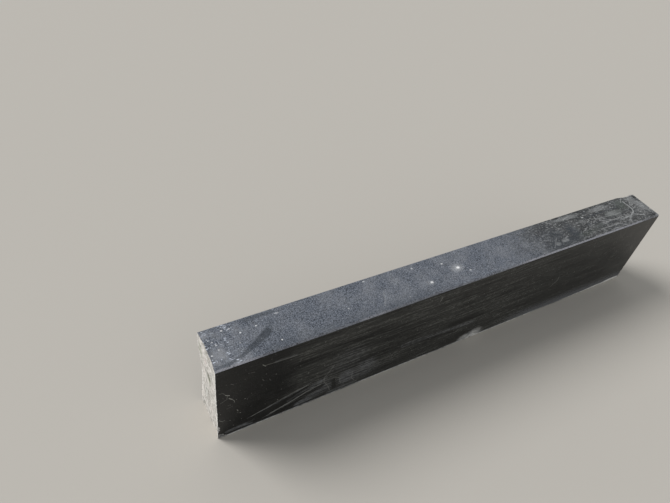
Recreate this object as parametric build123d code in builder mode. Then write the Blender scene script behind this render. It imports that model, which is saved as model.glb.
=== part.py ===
from build123d import *
import os

# A granite kerb stone, sawn from one block and standing upright on its bed, in millimetres.
# X runs along the kerb, -Y is the exposed face, Z is up. The origin is the middle of the bed.

kerb_length = 1250.0         # along X, over the furthest points of both ends
kerb_width = 100.0           # across Y
kerb_height = 250.0          # along Z

top_arris = 3.0              # ground off both long edges of the top
bed_arris = 2.0              # worn off both long edges of the bed

# The left end is split, not sawn. Each list follows one upright line from the bed to the top,
# and says how far the stone lies back there from the end's furthest point. Below nought, the
# crest is worn flat.
split_lines = [
    [0.8, 1.2, 0.6, 0.4, -0.6, -1.2],    # along the exposed face
    [4.5, 2.0, 2.6, 0.4, 1.2, 2.6],
    [4.0, 3.2, 3.0, 3.0, 1.6, 2.2],
    [2.2, 1.6, 6.0, 3.2, -0.3, -0.3],    # along the back
]

# Chips broken out of the edges: how long each is on its edge, and how deep it bites in.
toe_chip_length = 60.0       # a flake off the exposed face at the bed, by the sawn end
toe_chip_bite = 1.5
toe_chip_from_end = 18.0
toe_chip_lean = 0.2          # how far its blow leaned down, for each 1 out of the face

heel_chip_length = 90.0      # top and back, at the sawn end
heel_chip_bite = 7.0
heel_chip_from_end = 20.0

foot_chip_length = 36.0      # a flake off the exposed face at the bed, by the split end
foot_chip_bite = 2.2
foot_chip_from_end = 1.5

edge_chip_length = 32.0      # upright edge of the split end
edge_chip_bite = 4.0
edge_chip_height = 42.0

over_cut = 6.0               # how far the waste is cut past the stone


def chip(edge_point, outward, length, bite):
    """Scoops a shell-shaped chip out of a square edge, through two of its faces."""
    radius = ((length / 2) ** 2 / bite + bite) / 2
    centre = Vector(*edge_point) + Vector(*outward).normalized() * (radius - bite)
    with Locations(centre):
        Sphere(radius, mode=Mode.SUBTRACT)


sawn_end = kerb_length / 2
split_end = -kerb_length / 2
exposed_face = -kerb_width / 2
back_face = kerb_width / 2

with BuildPart() as kerb_stone:
    # The sawn block, and the arrises along its four long edges.
    with BuildSketch(Plane.YZ.offset(split_end)) as cross_section:
        Rectangle(kerb_width, kerb_height, align=(Align.CENTER, Align.MIN))
    extrude(amount=kerb_length)
    long_edges = kerb_stone.edges().filter_by(Axis.X).group_by(Axis.Z)
    chamfer(long_edges[-1], top_arris)
    bed_edges = kerb_stone.edges().filter_by(Axis.X).group_by(Axis.Z)[0]
    chamfer(bed_edges, bed_arris)

    # The split end: the waste beyond it is one loft through the upright lines.
    line_pitch = (kerb_width + 2 * over_cut) / (len(split_lines) - 1)
    for index, depths in enumerate(split_lines):
        step = (kerb_height + 2 * over_cut) / (len(depths) - 1)
        points = [(split_end + depth, -over_cut + row * step) for row, depth in enumerate(depths)]
        waste_edge = split_end - 2 * over_cut
        section_plane = Plane.XZ.offset(over_cut - exposed_face - index * line_pitch)
        with BuildSketch(section_plane) as waste_section:
            with BuildLine() as waste_outline:
                Spline(*points)
                Polyline(points[-1], (waste_edge, points[-1][1]), (waste_edge, points[0][1]), points[0])
            make_face()
    loft(mode=Mode.SUBTRACT)

    # The chips.
    toe_blow = (0, -1, -toe_chip_lean)
    chip((sawn_end - toe_chip_from_end, exposed_face, 0), toe_blow, toe_chip_length, toe_chip_bite)
    chip((sawn_end - heel_chip_from_end, back_face, kerb_height), (0, 1, 1), heel_chip_length, heel_chip_bite)
    chip((split_end + foot_chip_from_end, exposed_face, 0), (0, -1, 0), foot_chip_length, foot_chip_bite)
    chip((split_end, exposed_face, edge_chip_height), (-1, -1, 0), edge_chip_length, edge_chip_bite)

kerb_stone.part.label = "kerb_stone"

os.makedirs("parts", exist_ok=True)
export_step(kerb_stone.part, "parts/kerb_stone.step")
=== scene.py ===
import inspect
import math

import bmesh
import bpy
from mathutils import Matrix, Vector, noise
from mathutils.bvhtree import BVHTree


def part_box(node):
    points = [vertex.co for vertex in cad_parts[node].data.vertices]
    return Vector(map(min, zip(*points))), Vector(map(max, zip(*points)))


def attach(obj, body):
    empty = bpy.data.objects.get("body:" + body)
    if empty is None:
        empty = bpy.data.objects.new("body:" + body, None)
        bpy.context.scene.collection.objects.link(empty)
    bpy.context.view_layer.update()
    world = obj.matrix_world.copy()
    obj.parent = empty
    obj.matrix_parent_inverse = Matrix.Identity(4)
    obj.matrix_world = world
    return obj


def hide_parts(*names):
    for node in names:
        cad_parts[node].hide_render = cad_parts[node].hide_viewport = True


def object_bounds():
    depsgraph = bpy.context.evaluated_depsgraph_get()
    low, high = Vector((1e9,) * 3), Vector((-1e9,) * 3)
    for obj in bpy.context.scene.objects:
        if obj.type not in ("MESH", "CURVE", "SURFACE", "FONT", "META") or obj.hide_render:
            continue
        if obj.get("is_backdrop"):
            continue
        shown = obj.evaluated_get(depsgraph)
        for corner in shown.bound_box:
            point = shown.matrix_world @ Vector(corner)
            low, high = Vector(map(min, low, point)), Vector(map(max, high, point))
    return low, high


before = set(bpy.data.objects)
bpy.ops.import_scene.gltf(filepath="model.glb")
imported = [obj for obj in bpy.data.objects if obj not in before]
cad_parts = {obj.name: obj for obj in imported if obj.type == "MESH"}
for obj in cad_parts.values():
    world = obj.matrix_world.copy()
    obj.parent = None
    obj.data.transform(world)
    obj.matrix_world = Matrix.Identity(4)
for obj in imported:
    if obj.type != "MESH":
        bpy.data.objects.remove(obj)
cadLow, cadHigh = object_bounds()
print("frame loaded")

mm = 0.001
stoneLow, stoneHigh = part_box("kerb_stone")
stoneInMm = tuple(side / mm for side in stoneHigh - stoneLow)      # length, width and height


def fromCorner(x, y, z):
    return stoneLow + Vector((x, y, z)) * mm


def newPiece(name, data):
    piece = bpy.data.objects.new(name, data)
    bpy.context.collection.objects.link(piece)
    return piece


# Node helpers. A socket knows its tree, so a tree is named only where no socket goes in

def feed(socket, value):
    if isinstance(value, bpy.types.NodeSocket):
        socket.id_data.links.new(value, socket)
    elif socket.type == "RGBA":
        socket.default_value = (*value, 1.0)
    else:
        socket.default_value = value


def addNode(kind, inputs=None, tree=None, **settings):
    inputs = inputs or {}
    if tree is None:
        tree = next(value.id_data for value in inputs.values() if isinstance(value, bpy.types.NodeSocket))
    made = tree.nodes.new(kind)
    for label, value in settings.items():
        setattr(made, label, value)
    for key, value in inputs.items():
        feed(made.inputs[key], value)
    return made


def calc(operation, *values):
    return addNode("ShaderNodeMath", dict(enumerate(values)), operation=operation).outputs[0]


def vectorCalc(operation, *values):
    made = addNode("ShaderNodeVectorMath", dict(enumerate(values)), operation=operation)
    single = operation in ("LENGTH", "DISTANCE", "DOT_PRODUCT")
    return made.outputs["Value" if single else "Vector"]


def scaled(vector, share):
    return addNode("ShaderNodeVectorMath", {0: vector, 3: share}, operation="SCALE").outputs[0]


def axesOf(vector):
    return addNode("ShaderNodeSeparateXYZ", {0: vector}).outputs


def clamped(value):
    return addNode("ShaderNodeClamp", {0: value}).outputs[0]


def fade(value, start, end, low=0.0, high=1.0):
    # It is low where the value is at start and high where it is at end. A smooth step stays between them
    # by itself, and clamping it would cost the shader stack space
    inputs = {0: value, 1: start, 2: end, 3: low, 4: high}
    return addNode("ShaderNodeMapRange", inputs, interpolation_type="SMOOTHSTEP", clamp=False).outputs[0]


def times(first, *others):
    for other in others:
        first = calc("MULTIPLY", first, other)
    return first


def timesPlus(first, second, added):
    return calc("MULTIPLY_ADD", first, second, added)


def inverse(share):
    return calc("SUBTRACT", 1.0, share)


def strongest(first, *others):
    for other in others:
        first = calc("MAXIMUM", first, other)
    return first


def blendTone(share, under, over):
    return addNode("ShaderNodeMix", {0: share, 6: under, 7: over}, data_type="RGBA").outputs[2]


def splitTones(color):
    return addNode("ShaderNodeSeparateColor", {0: color}).outputs


def noiseAt(spot, scale, detail, rough=0.5):
    inputs = {"Vector": spot, "Scale": scale, "Detail": detail, "Roughness": rough}
    return addNode("ShaderNodeTexNoise", inputs).outputs


def cellsAt(spot, scale=1.0):
    return addNode("ShaderNodeTexVoronoi", {"Vector": spot, "Scale": scale}).outputs


def cloud(place, size, stretch=(1, 1, 1), detail=3.0, rough=0.5, shift=(0, 0, 0)):
    # size is the lumps' size in millimetres, stretch is how many times longer they are each way
    shrink = tuple(1 / (size * along) for along in stretch)
    return noiseAt(vectorCalc("MULTIPLY_ADD", place, shrink, shift), 1.0, detail, rough)[0]


def newMaterial(name):
    material = bpy.data.materials.new(name)
    material.use_nodes = True
    return material, material.node_tree.nodes["Principled BSDF"]


def stonePlace(shader):
    # Millimetres from the split end, the exposed face and the bed
    coords = addNode("ShaderNodeTexCoord", tree=shader.id_data).outputs["Object"]
    corner = tuple(-edge / mm for edge in stoneLow)
    return vectorCalc("MULTIPLY_ADD", coords, (1 / mm, 1 / mm, 1 / mm), corner)


def finishSurface(shader, finish, tone, rough, height, **settings):
    inputs = {"Strength": finish["bumpStrength"], "Distance": finish["bumpDepth"] * mm, "Height": height}
    bump = addNode("ShaderNodeBump", inputs, **settings)
    feed(shader.inputs["Base Color"], tone)
    feed(shader.inputs["Roughness"], rough)
    feed(shader.inputs["Normal"], bump.outputs[0])
    feed(shader.inputs["Specular IOR Level"], finish["gloss"])


# Camera, light and floor

studio = dict(
    lens=30.37,                       # millimetres
    sensor=36.0,                      # millimetres wide
    place=(-0.8010, -0.6036, 1.1332),
    aim=(-0.2722, 0.1481, 0.247),
    roll=9.893,                       # degrees, the camera was held a little crooked
    nearest=0.01,                     # metres, nothing closer is drawn
    keyWay=(-0.50, 0.49, 0.71),       # towards the key light, behind the stone and to its left
    keyStrength=2.3,
    keySpread=30.0,                   # degrees, wide enough for soft shadows
    skyTone=(0.95, 0.98, 1.0),
    skyStrength=0.46,
    backdropTone=(0.76, 0.74, 0.71),
    floorTone=(0.52, 0.49, 0.445),
    floorRough=0.95,
    floorGloss=0.1,
    floorReach=20.0,                  # metres each way
    floorDrop=0.0002,                 # metres below the bed
)


def setCamera():
    data = bpy.data.cameras.new("photoCamera")
    data.lens = studio["lens"]
    data.sensor_width = studio["sensor"]
    data.clip_start = studio["nearest"]
    camera = newPiece("photoCamera", data)
    place = Vector(studio["place"])
    look = (Vector(studio["aim"]) - place).normalized()
    side = look.cross(Vector((0, 0, 1))).normalized()
    upright = Matrix((side, side.cross(look), -look)).transposed()
    roll = Matrix.Rotation(math.radians(studio["roll"]), 3, "Z")
    camera.matrix_world = Matrix.Translation(place) @ (upright @ roll).to_4x4()
    bpy.context.scene.camera = camera


def setLight():
    data = bpy.data.lights.new("softKey", "SUN")
    data.energy = studio["keyStrength"]
    data.angle = math.radians(studio["keySpread"])
    newPiece("softKey", data).rotation_euler = Vector(studio["keyWay"]).to_track_quat("Z", "Y").to_euler()

    # The camera and clear reflections see the backdrop, and the sky lights the rest
    world = bpy.data.worlds.new("studioWorld")
    world.use_nodes = True
    tree = world.node_tree
    tree.nodes.clear()
    sky = addNode("ShaderNodeBackground", {0: studio["skyTone"], 1: studio["skyStrength"]}, tree).outputs[0]
    backdrop = addNode("ShaderNodeBackground", {0: studio["backdropTone"], 1: 1.0}, tree).outputs[0]
    rays = addNode("ShaderNodeLightPath", tree=tree).outputs
    seen = strongest(rays["Is Camera Ray"], rays["Is Glossy Ray"], rays["Is Transmission Ray"])
    both = addNode("ShaderNodeMixShader", {0: seen, 1: sky, 2: backdrop}).outputs[0]
    addNode("ShaderNodeOutputWorld", {"Surface": both})
    bpy.context.scene.world = world
    bpy.context.scene.view_settings.view_transform = "Standard"


def layFloor():
    reach, drop = studio["floorReach"], -studio["floorDrop"]
    corners = [(-reach, -reach, drop), (reach, -reach, drop), (reach, reach, drop), (-reach, reach, drop)]
    mesh = bpy.data.meshes.new("studioFloor")
    mesh.from_pydata(corners, [], [(0, 1, 2, 3)])
    material, shader = newMaterial("paleFloor")
    feed(shader.inputs["Base Color"], studio["floorTone"])
    feed(shader.inputs["Roughness"], studio["floorRough"])
    feed(shader.inputs["Specular IOR Level"], studio["floorGloss"])
    mesh.materials.append(material)
    newPiece("studioFloor", mesh)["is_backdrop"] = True


# Shared effects. Each function below becomes a node group, and a call to it places the group

def spelled(name):
    # crystalSize becomes Crystal Size
    return "".join(" " + letter if letter.isupper() else letter for letter in name).title()


def shaderGroup(make):
    group = bpy.data.node_groups.new(make.__name__, "ShaderNodeTree")
    usual = {name: entry.default for name, entry in inspect.signature(make).parameters.items()}
    for name, value in usual.items():
        kind = "NodeSocketVector" if isinstance(value, tuple) else "NodeSocketFloat"
        group.interface.new_socket(spelled(name), in_out="INPUT", socket_type=kind).default_value = value
    takes = addNode("NodeGroupInput", tree=group).outputs
    made = make(**{name: takes[spelled(name)] for name in usual})
    for name in made:
        group.interface.new_socket(spelled(name), in_out="OUTPUT", socket_type="NodeSocketFloat")
    addNode("NodeGroupOutput", {spelled(name): value for name, value in made.items()})

    def placeGroup(place, **values):
        inputs = {"Place": place, **{spelled(name): value for name, value in values.items()}}
        gives = addNode("ShaderNodeGroup", inputs, node_tree=group).outputs
        return gives if len(gives) > 1 else gives[0]
    return placeGroup


@shaderGroup
def graniteGrain(place=(0, 0, 0), crystalSize=1.4):
    # Large and small crystals on broad lumps, and a few bright crystals
    spot = scaled(place, calc("DIVIDE", 1.0, crystalSize))
    coarse, fine, lumps = cellsAt(spot), cellsAt(spot, 2.7), noiseAt(spot, 0.36, 2.0, 0.7)[0]
    coarseTone, fineTone = splitTones(coarse["Color"]), splitTones(fine["Color"])
    crystals = timesPlus(fineTone[1], 0.2, times(coarseTone[0], 0.35))
    grain = timesPlus(fade(lumps, 0.3, 0.7), 0.45, crystals)
    bright, middle = fade(coarseTone[1], 0.93, 0.97), fade(coarse["Distance"], 0.45, 0.2)
    return dict(grain=grain, glint=times(bright, middle))


@shaderGroup
def strewnSpecks(place=(0, 0, 0), spacing=8.0, size=1.5, share=0.7):
    # A speck of its own size in each cell, in the given share of the cells
    cells = cellsAt(scaled(place, calc("DIVIDE", 1.0, spacing)))
    chance = splitTones(cells["Color"])
    away = times(cells["Distance"], spacing)
    radius = times(size, calc("ADD", chance[1], 0.5))
    speck = fade(calc("DIVIDE", away, radius), 1.0, 0.45)
    limit = inverse(share)
    return dict(mask=times(speck, fade(chance[0], limit, calc("ADD", limit, 0.03))))


@shaderGroup
def dustFilm(place=(0, 0, 0), cloudSize=60.0, amount=0.5):
    clouds = noiseAt(scaled(place, calc("DIVIDE", 1.0, cloudSize)), 1.0, 6.0, 0.62)[0]
    bareness = calc("SUBTRACT", 0.78, times(amount, 0.55))
    return dict(film=fade(clouds, calc("SUBTRACT", bareness, 0.16), calc("ADD", bareness, 0.16)))


@shaderGroup
def rubMark(place=(0, 0, 0), start=(0, 0, 0), line=(1, 0, 0), measure=(1, 0, 0), width=2.0, widen=0.0,
            strength=1.0, fall=0.0):
    # measure is the line divided by the square of its length. widen and fall tell how much wider and
    # fainter the mark is where it ends
    fromStart = vectorCalc("SUBTRACT", place, start)
    along = clamped(vectorCalc("DOT_PRODUCT", fromStart, measure))
    away = vectorCalc("DISTANCE", fromStart, scaled(line, along))
    core = fade(calc("DIVIDE", away, timesPlus(along, widen, width)), 1.0, 0.4)
    return dict(mask=times(core, timesPlus(along, fall, strength)))


@shaderGroup
def softSpot(place=(0, 0, 0), centre=(0, 0, 0), spread=(5, 5, 5), core=0.2, strength=1.0):
    share = vectorCalc("LENGTH", vectorCalc("DIVIDE", vectorCalc("SUBTRACT", place, centre), spread))
    return dict(mask=times(fade(share, 1.0, core), strength))


@shaderGroup
def edgeWear(place=(0, 0, 0), stone=(1250, 100, 250), width=3.0):
    gaps = axesOf(vectorCalc("MINIMUM", place, vectorCalc("SUBTRACT", stone, place)))
    # On a face one of the three gaps is nought, so the middle one is the way to the nearest edge
    least, most = calc("MINIMUM", gaps[0], gaps[1]), calc("MAXIMUM", gaps[0], gaps[1])
    middle = calc("MAXIMUM", least, calc("MINIMUM", most, gaps[2]))
    ragged = fade(cloud(place, 7.0, detail=4.0, rough=0.65), 0.3, 0.75, 0.15, 1.8)
    patchy = fade(cloud(place, 70.0, detail=2.0), 0.3, 0.7, 0.4, 1.3)
    return dict(mask=fade(calc("DIVIDE", middle, times(width, ragged, patchy)), 1.0, 0.3))


@shaderGroup
def fineScratches(place=(0, 0, 0), turn=(0, 0, 0), length=60.0, share=0.3):
    # Where stretched noise crosses its middle value it gives long thin lines
    turned = addNode("ShaderNodeVectorRotate", {"Vector": place, "Rotation": turn}, rotation_type="EULER_XYZ")
    x, y, z = axesOf(turned.outputs[0])
    stretched = {0: calc("DIVIDE", x, length), 1: calc("DIVIDE", y, 2.2), 2: calc("DIVIDE", z, 2.2)}
    lines = noiseAt(addNode("ShaderNodeCombineXYZ", stretched).outputs[0], 1.0, 1.0)[0]
    thin = fade(calc("ABSOLUTE", calc("SUBTRACT", lines, 0.5)), 0.016, 0.002)
    where = cloud(place, 45.0, detail=2.0, shift=(3.7, 1.1, 8.3))
    limit = calc("SUBTRACT", 0.72, times(share, 0.5))
    return dict(mask=times(thin, fade(where, limit, calc("ADD", limit, 0.12))))


@shaderGroup
def sawLines(place=(0, 0, 0), hub=(0, 0, 0), pitch=3.0):
    # Rings round the blade's middle, some deeper than others
    away = vectorCalc("DISTANCE", place, hub)
    wander = times(cloud(place, 55.0, detail=2.0), 1.6)
    turns = calc("ADD", calc("DIVIDE", away, pitch), wander)
    wave = timesPlus(calc("SINE", times(turns, math.tau)), 0.5, 0.5)
    uneven = noiseAt(addNode("ShaderNodeCombineXYZ", {0: turns}).outputs[0], 0.8, 2.0)[0]
    return dict(lines=times(wave, fade(uneven, 0.3, 0.7, 0.25, 1.0)))


# Which of X, Y and Z a mark's points give, for each face that has marks
faceAxes = dict(front=(0, 2), top=(0, 1), end=(1, 2), any=(0, 1, 2))


def onFace(face, values, rest=0.0):
    point = [rest, rest, rest]
    for axis, value in zip(faceAxes[face], values):
        point[axis] = value
    return tuple(point)


def flatten(place, face, wobble):
    # The place on one face only, pushed about a little so that no mark is ruler straight
    centred = vectorCalc("SUBTRACT", noiseAt(place, 0.06, 2.0)["Color"], (0.5, 0.5, 0.5))
    pushed = vectorCalc("MULTIPLY_ADD", centred, (wobble, wobble, wobble), place)
    return vectorCalc("MULTIPLY", pushed, onFace(face, (1.0, 1.0)))


def mark(width, strength, *path, flare=0.0, tail=0.0):
    # A rubbed line through the path's points. It widens by flare, and its last stretch fades by tail
    return dict(width=width, strength=strength, path=path, flare=flare, tail=tail)


def drawMarks(spot, face, marks):
    # The strongest mark wins where marks cross
    drawn = 0.0
    for each in marks:
        width, strength = each["width"], each["strength"]
        corners = [Vector(onFace(face, pair)) for pair in each["path"]]
        for start, end in zip(corners, corners[1:]):
            line = end - start
            tail = each["tail"] if end is corners[-1] else 0.0
            drawn = strongest(drawn, rubMark(
                spot, start=start, line=line, measure=line / line.dot(line), width=width,
                widen=width * each["flare"], strength=strength, fall=-strength * tail))
    return drawn


def drawSpots(spot, face, spots, core=0.25):
    # Each spot gives its middle, how far it reaches each way, and its strength
    drawn = 0.0
    for centre, spread, strength in spots:
        drawn = strongest(drawn, softSpot(spot, centre=onFace(face, centre),
                                          spread=onFace(face, spread, 1.0), core=core, strength=strength))
    return drawn


# Polished granite: the long faces and the arrises at the bed. Marks are X and Z in millimetres

polish = dict(
    deepTone=(0.0036, 0.0035, 0.0032),
    crystalTone=(0.0110, 0.0111, 0.0112),
    glintTone=(0.4, 0.42, 0.45),
    filmTone=(0.084, 0.085, 0.078),
    streakTone=(0.205, 0.210, 0.220),
    scuffTone=(0.34, 0.335, 0.31),
    wornTone=(0.19, 0.195, 0.21),
    toeTone=(0.86, 0.85, 0.82),
    gloss=0.13,
    bumpStrength=0.25,
    bumpDepth=0.06,                   # millimetres
    crystalSize=1.3,
    wobble=(5.0, 1.2),                # millimetres, for loose and for steady marks
    filmShare=0.85,
    streakShare=0.75,
    glintShare=0.10,
    wearWidth=2.6,
    brushed=dict(size=6.0, stretch=(24, 1, 1), detail=4.0, rough=0.62),
    broad=dict(size=30.0, stretch=(6, 1, 1), rough=0.55, shift=(4.2, 0, 1.3)),
    fine=dict(size=4.2, stretch=(2.6, 1, 1), rough=0.66),
    backDust=dict(cloudSize=70.0, amount=0.5),
    risingHairs=dict(turn=(0, math.radians(38), 0), length=55.0, share=0.55),
    levelHairs=dict(turn=(0, math.radians(-6), 0), length=110.0, share=0.45),
    roughBase=0.07,
    roughFilm=0.26,                   # what a full film of dust adds
    roughWorn=0.4,                    # what scratches and worn edges add
    frontFrom=(6.0, 3.0),             # Y where it starts and ends
    backFrom=(93.0, 96.0),
    # Where the film comes in near the split end: partly dust, partly a painted reflection that keeps that end
    # dark
    dustyFrom=(165.0, 235.0, 0.10, 1.0),           # X where it starts and ends, and the share at each
    thinnerFrom=(760.0, 980.0, 1.0, 0.5),
    # Top right, where hair scratches are thicker and the film thins as a painted dark reflection
    hairyFrom=((1060.0, 1110.0), (90.0, 130.0)),   # X and Z
    splashedFrom=(740.0, 880.0),
    wornUpTo=(16.0, 2.0, 0.22, 1.0),               # Z, and the share at each
    skirtUpTo=(13.0, 2.0),
    splashUpTo=(48.0, 0.0, 0.0, 0.8),
    rimUpTo=(7.0, 3.5),
    scratches=[
        mark(0.9, 0.35, (6, 173.5), (13.3, 172), (17.8, 165.5)),
        mark(1.3, 0.95, (18.8, 161.5), (26.8, 155)),
        mark(0.8, 0.35, (22.5, 157), (21.7, 145.5), (15.1, 141.5), (8.2, 138)),
        mark(1.4, 0.85, (26.1, 145.5), (32.7, 138)),
        mark(1.0, 0.5, (32.7, 138), (36.8, 129.5), (36.8, 124.5)),
        mark(0.8, 0.25, (33.7, 112.5), (20.7, 109.5)),
        mark(1.1, 0.75, (42.8, 91.5), (44.8, 86.5)),
        mark(1.0, 0.55, (5.8, 73.5), (10.6, 67.5), (16.1, 68)),
        mark(1.3, 0.6, (94, 220), (100, 212)),
        mark(1.6, 0.28, (98, 215), (150, 211), (232, 205), tail=0.7),
        mark(0.9, 0.3, (30, 194), (36, 188)),
        mark(0.9, 0.3, (70, 207), (78, 206)),
        mark(0.9, 0.3, (95, 170), (99, 162)),
        mark(0.8, 0.25, (110, 162), (113, 155)),
        mark(1.4, 0.34, (264, 120), (253, 100), (243, 82), (245, 64), (256, 44), (264, 20)),
        mark(1.5, 0.32, (274, 65), (286, 56), (288, 40), (292, 32)),
        mark(1.5, 0.30, (318, 62), (319, 37), (328, 22)),
        mark(1.3, 0.26, (304, 66), (308, 54)),
        mark(1.3, 0.5, (518, 216), (520, 228)),
        mark(2.2, 0.3, (742, 55), (760, 59)),
        mark(1.4, 0.3, (920, 97), (938, 117), (935, 130)),
        mark(1.5, 0.42, (74, 42), (112, 54), (150, 67), (185, 76), (227, 79), tail=0.5),
        mark(1.9, 0.62, (118, 23.5), (145, 31), (170, 39), (202, 53), (238, 62), tail=0.4),
        mark(1.2, 0.24, (100, 16), (130, 24), (188, 37), (262, 41), tail=0.5),
    ],
    dots=[
        ((59.5, 122.5), (1.6, 1.6), 0.7), ((41.4, 132), (1.4, 1.4), 0.5), ((49.6, 75.5), (1.6, 1.6), 0.8),
        ((27.6, 59.5), (1.6, 1.4), 0.5), ((7.5, 97.5), (1.5, 1.5), 0.5), ((24, 120), (1.3, 1.3), 0.4),
    ],
    specks=dict(spacing=7.5, size=1.15, share=0.5),
    wipes=[
        mark(2.6, 0.75, (66, 40), (115, 52), (190, 75), (216, 88), tail=0.5),
        mark(3.6, 1.0, (112, 19), (165, 38), (205, 54), (250, 82), tail=0.35),
        mark(6.0, 0.35, (160, 46), (235, 80)),
        mark(13.0, 0.75, (185, 14), (225, 26), (258, 32), tail=0.3),
        mark(6.0, 0.8, (20, 18), (60, 19), (75, 14), tail=0.5),
        mark(3.0, 0.6, (26, 20), (53, 24), (81, 24), tail=0.4),
        mark(5.0, 0.4, (122, 214), (165, 213)),
        mark(11.0, 0.4, (450, 88), (560, 82), (660, 74)),
        mark(10.0, 0.5, (262, 12), (330, 14), tail=0.5),
        mark(9.0, 0.6, (640, 8), (720, 10), tail=0.5),
    ],
    smudges=[
        ((235, 47), (50, 34), 0.6), ((305, 52), (34, 40), 0.9), ((352, 72), (38, 28), 0.75),
        ((676, 16), (44, 22), 1.0), ((300, 122), (70, 60), 0.25), ((330, 46), (80, 34), 0.45),
    ],
    toeSpots=[((1222, 2), (58, 12), 1.0), ((1160, 2), (66, 7), 0.8)],
    whiteSmudges=[((684, 4), (37, 25), 0.9), ((690, 20), (30, 22), 0.55), ((655, 14), (26, 18), 0.5)],
    bareStrokes=[
        mark(7.0, 0.9, (132, 40), (175, 62), (222, 78)),
        mark(9.0, 0.8, (140, 12), (185, 34), (240, 54)),
        mark(8.0, 0.7, (270, 57), (276, 22)),
        mark(5.0, 0.8, (500, 77), (610, 63)),
        mark(22.0, 0.6, (590, 24), (640, 30)),
    ],
)


def makePolished():
    material, shader = newMaterial("polishedGranite")
    place = stonePlace(shader)
    x, y, z = axesOf(place)
    onFront = fade(y, *polish["frontFrom"])             # the marks lie on the exposed face only
    waving, steady = (flatten(place, "front", wobble) for wobble in polish["wobble"])
    grain = graniteGrain(place, crystalSize=polish["crystalSize"])
    tone = blendTone(grain["Grain"], polish["deepTone"], polish["crystalTone"])

    # Dust wiped along the face, thin near the split end, and settled dust on the back. The step from the dark
    # split end to the filmed face is partly dust and partly a painted reflection
    brushed, broad, fine = (cloud(place, **polish[name]) for name in ("brushed", "broad", "fine"))
    wiped = timesPlus(fade(brushed, 0.40, 0.64), 0.6, times(fade(broad, 0.34, 0.66), 0.4))
    dusty = fade(calc("ADD", x, times(broad, 70.0)), *polish["dustyFrom"])
    film = times(wiped, dusty, fade(fine, 0.36, 0.64, 0.6, 1.4))
    along, upward = polish["hairyFrom"]
    hairy = times(fade(x, *along), fade(z, *upward), onFront)
    # The film thins in the hairy top-right corner as a painted dark reflection
    film = times(film, fade(x, *polish["thinnerFrom"]), inverse(times(hairy, 0.6)))
    onBack = fade(y, *polish["backFrom"])
    settled = times(dustFilm(place, **polish["backDust"]), onBack, fade(fine, 0.3, 0.7, 0.12, 0.42))
    film = strongest(times(film, fade(onBack, 0.0, 1.0, 1.0, 0.22)), settled)
    bare = times(drawMarks(waving, "front", polish["bareStrokes"]), onFront)
    film = times(film, inverse(bare))
    tone = blendTone(times(film, polish["filmShare"]), tone, polish["filmTone"])
    wipes = drawMarks(waving, "front", polish["wipes"])
    smudges = times(drawSpots(waving, "front", polish["smudges"]), inverse(bare))
    streaks = times(strongest(wipes, smudges), onFront, fade(brushed, 0.38, 0.62, 0.3, 1.2),
                    fade(fine, 0.36, 0.62, 0.5, 1.2))
    tone = blendTone(times(streaks, polish["streakShare"]), tone, polish["streakTone"])
    film = clamped(calc("ADD", film, streaks))

    # Scratches, scuffs and specks of grit
    drawn = times(drawMarks(steady, "front", polish["scratches"]), onFront)
    rising, level = (fineScratches(place, **polish[name]) for name in ("risingHairs", "levelHairs"))
    hairs = strongest(times(rising, timesPlus(hairy, 0.22, 0.05)), times(level, 0.08))
    grit = times(strewnSpecks(place, **polish["specks"]), fade(broad, 0.3, 0.65, 0.15, 0.5))
    dots = times(drawSpots(steady, "front", polish["dots"], core=0.4), onFront)
    scratch = strongest(drawn, dots, hairs, grit)
    tone = blendTone(scratch, tone, polish["scuffTone"])

    # Pale worn edges, the bed edge dustiest, and whitest at its bruised toe
    wear = edgeWear(place, stone=stoneInMm, width=polish["wearWidth"])
    worn = times(wear, fade(z, *polish["wornUpTo"]))
    skirt = times(fade(z, *polish["skirtUpTo"]), fade(broad, 0.35, 0.7, 0.1, 0.5))
    splashed = times(fade(z, *polish["splashUpTo"]), fade(x, *polish["splashedFrom"]), onFront,
                     fade(fine, 0.3, 0.6, 0.6, 1.0))
    worn = strongest(worn, skirt, splashed)
    tone = blendTone(worn, tone, polish["wornTone"])
    rim = times(fade(z, *polish["rimUpTo"]), fade(broad, 0.36, 0.56, 0.1, 0.9), onFront,
                fade(fine, 0.3, 0.6, 0.4, 1.0))
    tone = blendTone(rim, tone, polish["toeTone"])
    toe = drawSpots(steady, "front", polish["toeSpots"], core=0.6)
    white = drawSpots(waving, "front", polish["whiteSmudges"], core=0.15)
    toe = times(strongest(toe, times(white, fade(fine, 0.30, 0.60, 0.35, 1.0))), onFront)
    tone = blendTone(toe, tone, polish["toeTone"])
    tone = blendTone(times(grain["Glint"], polish["glintShare"]), tone, polish["glintTone"])

    rough = timesPlus(film, polish["roughFilm"], polish["roughBase"])
    rough = timesPlus(strongest(scratch, worn, toe), polish["roughWorn"], rough)
    finishSurface(shader, polish, tone, rough, hairs, invert=True)
    return material


# Honed granite: the top and its arrises. Marks are X and Y in millimetres

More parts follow.
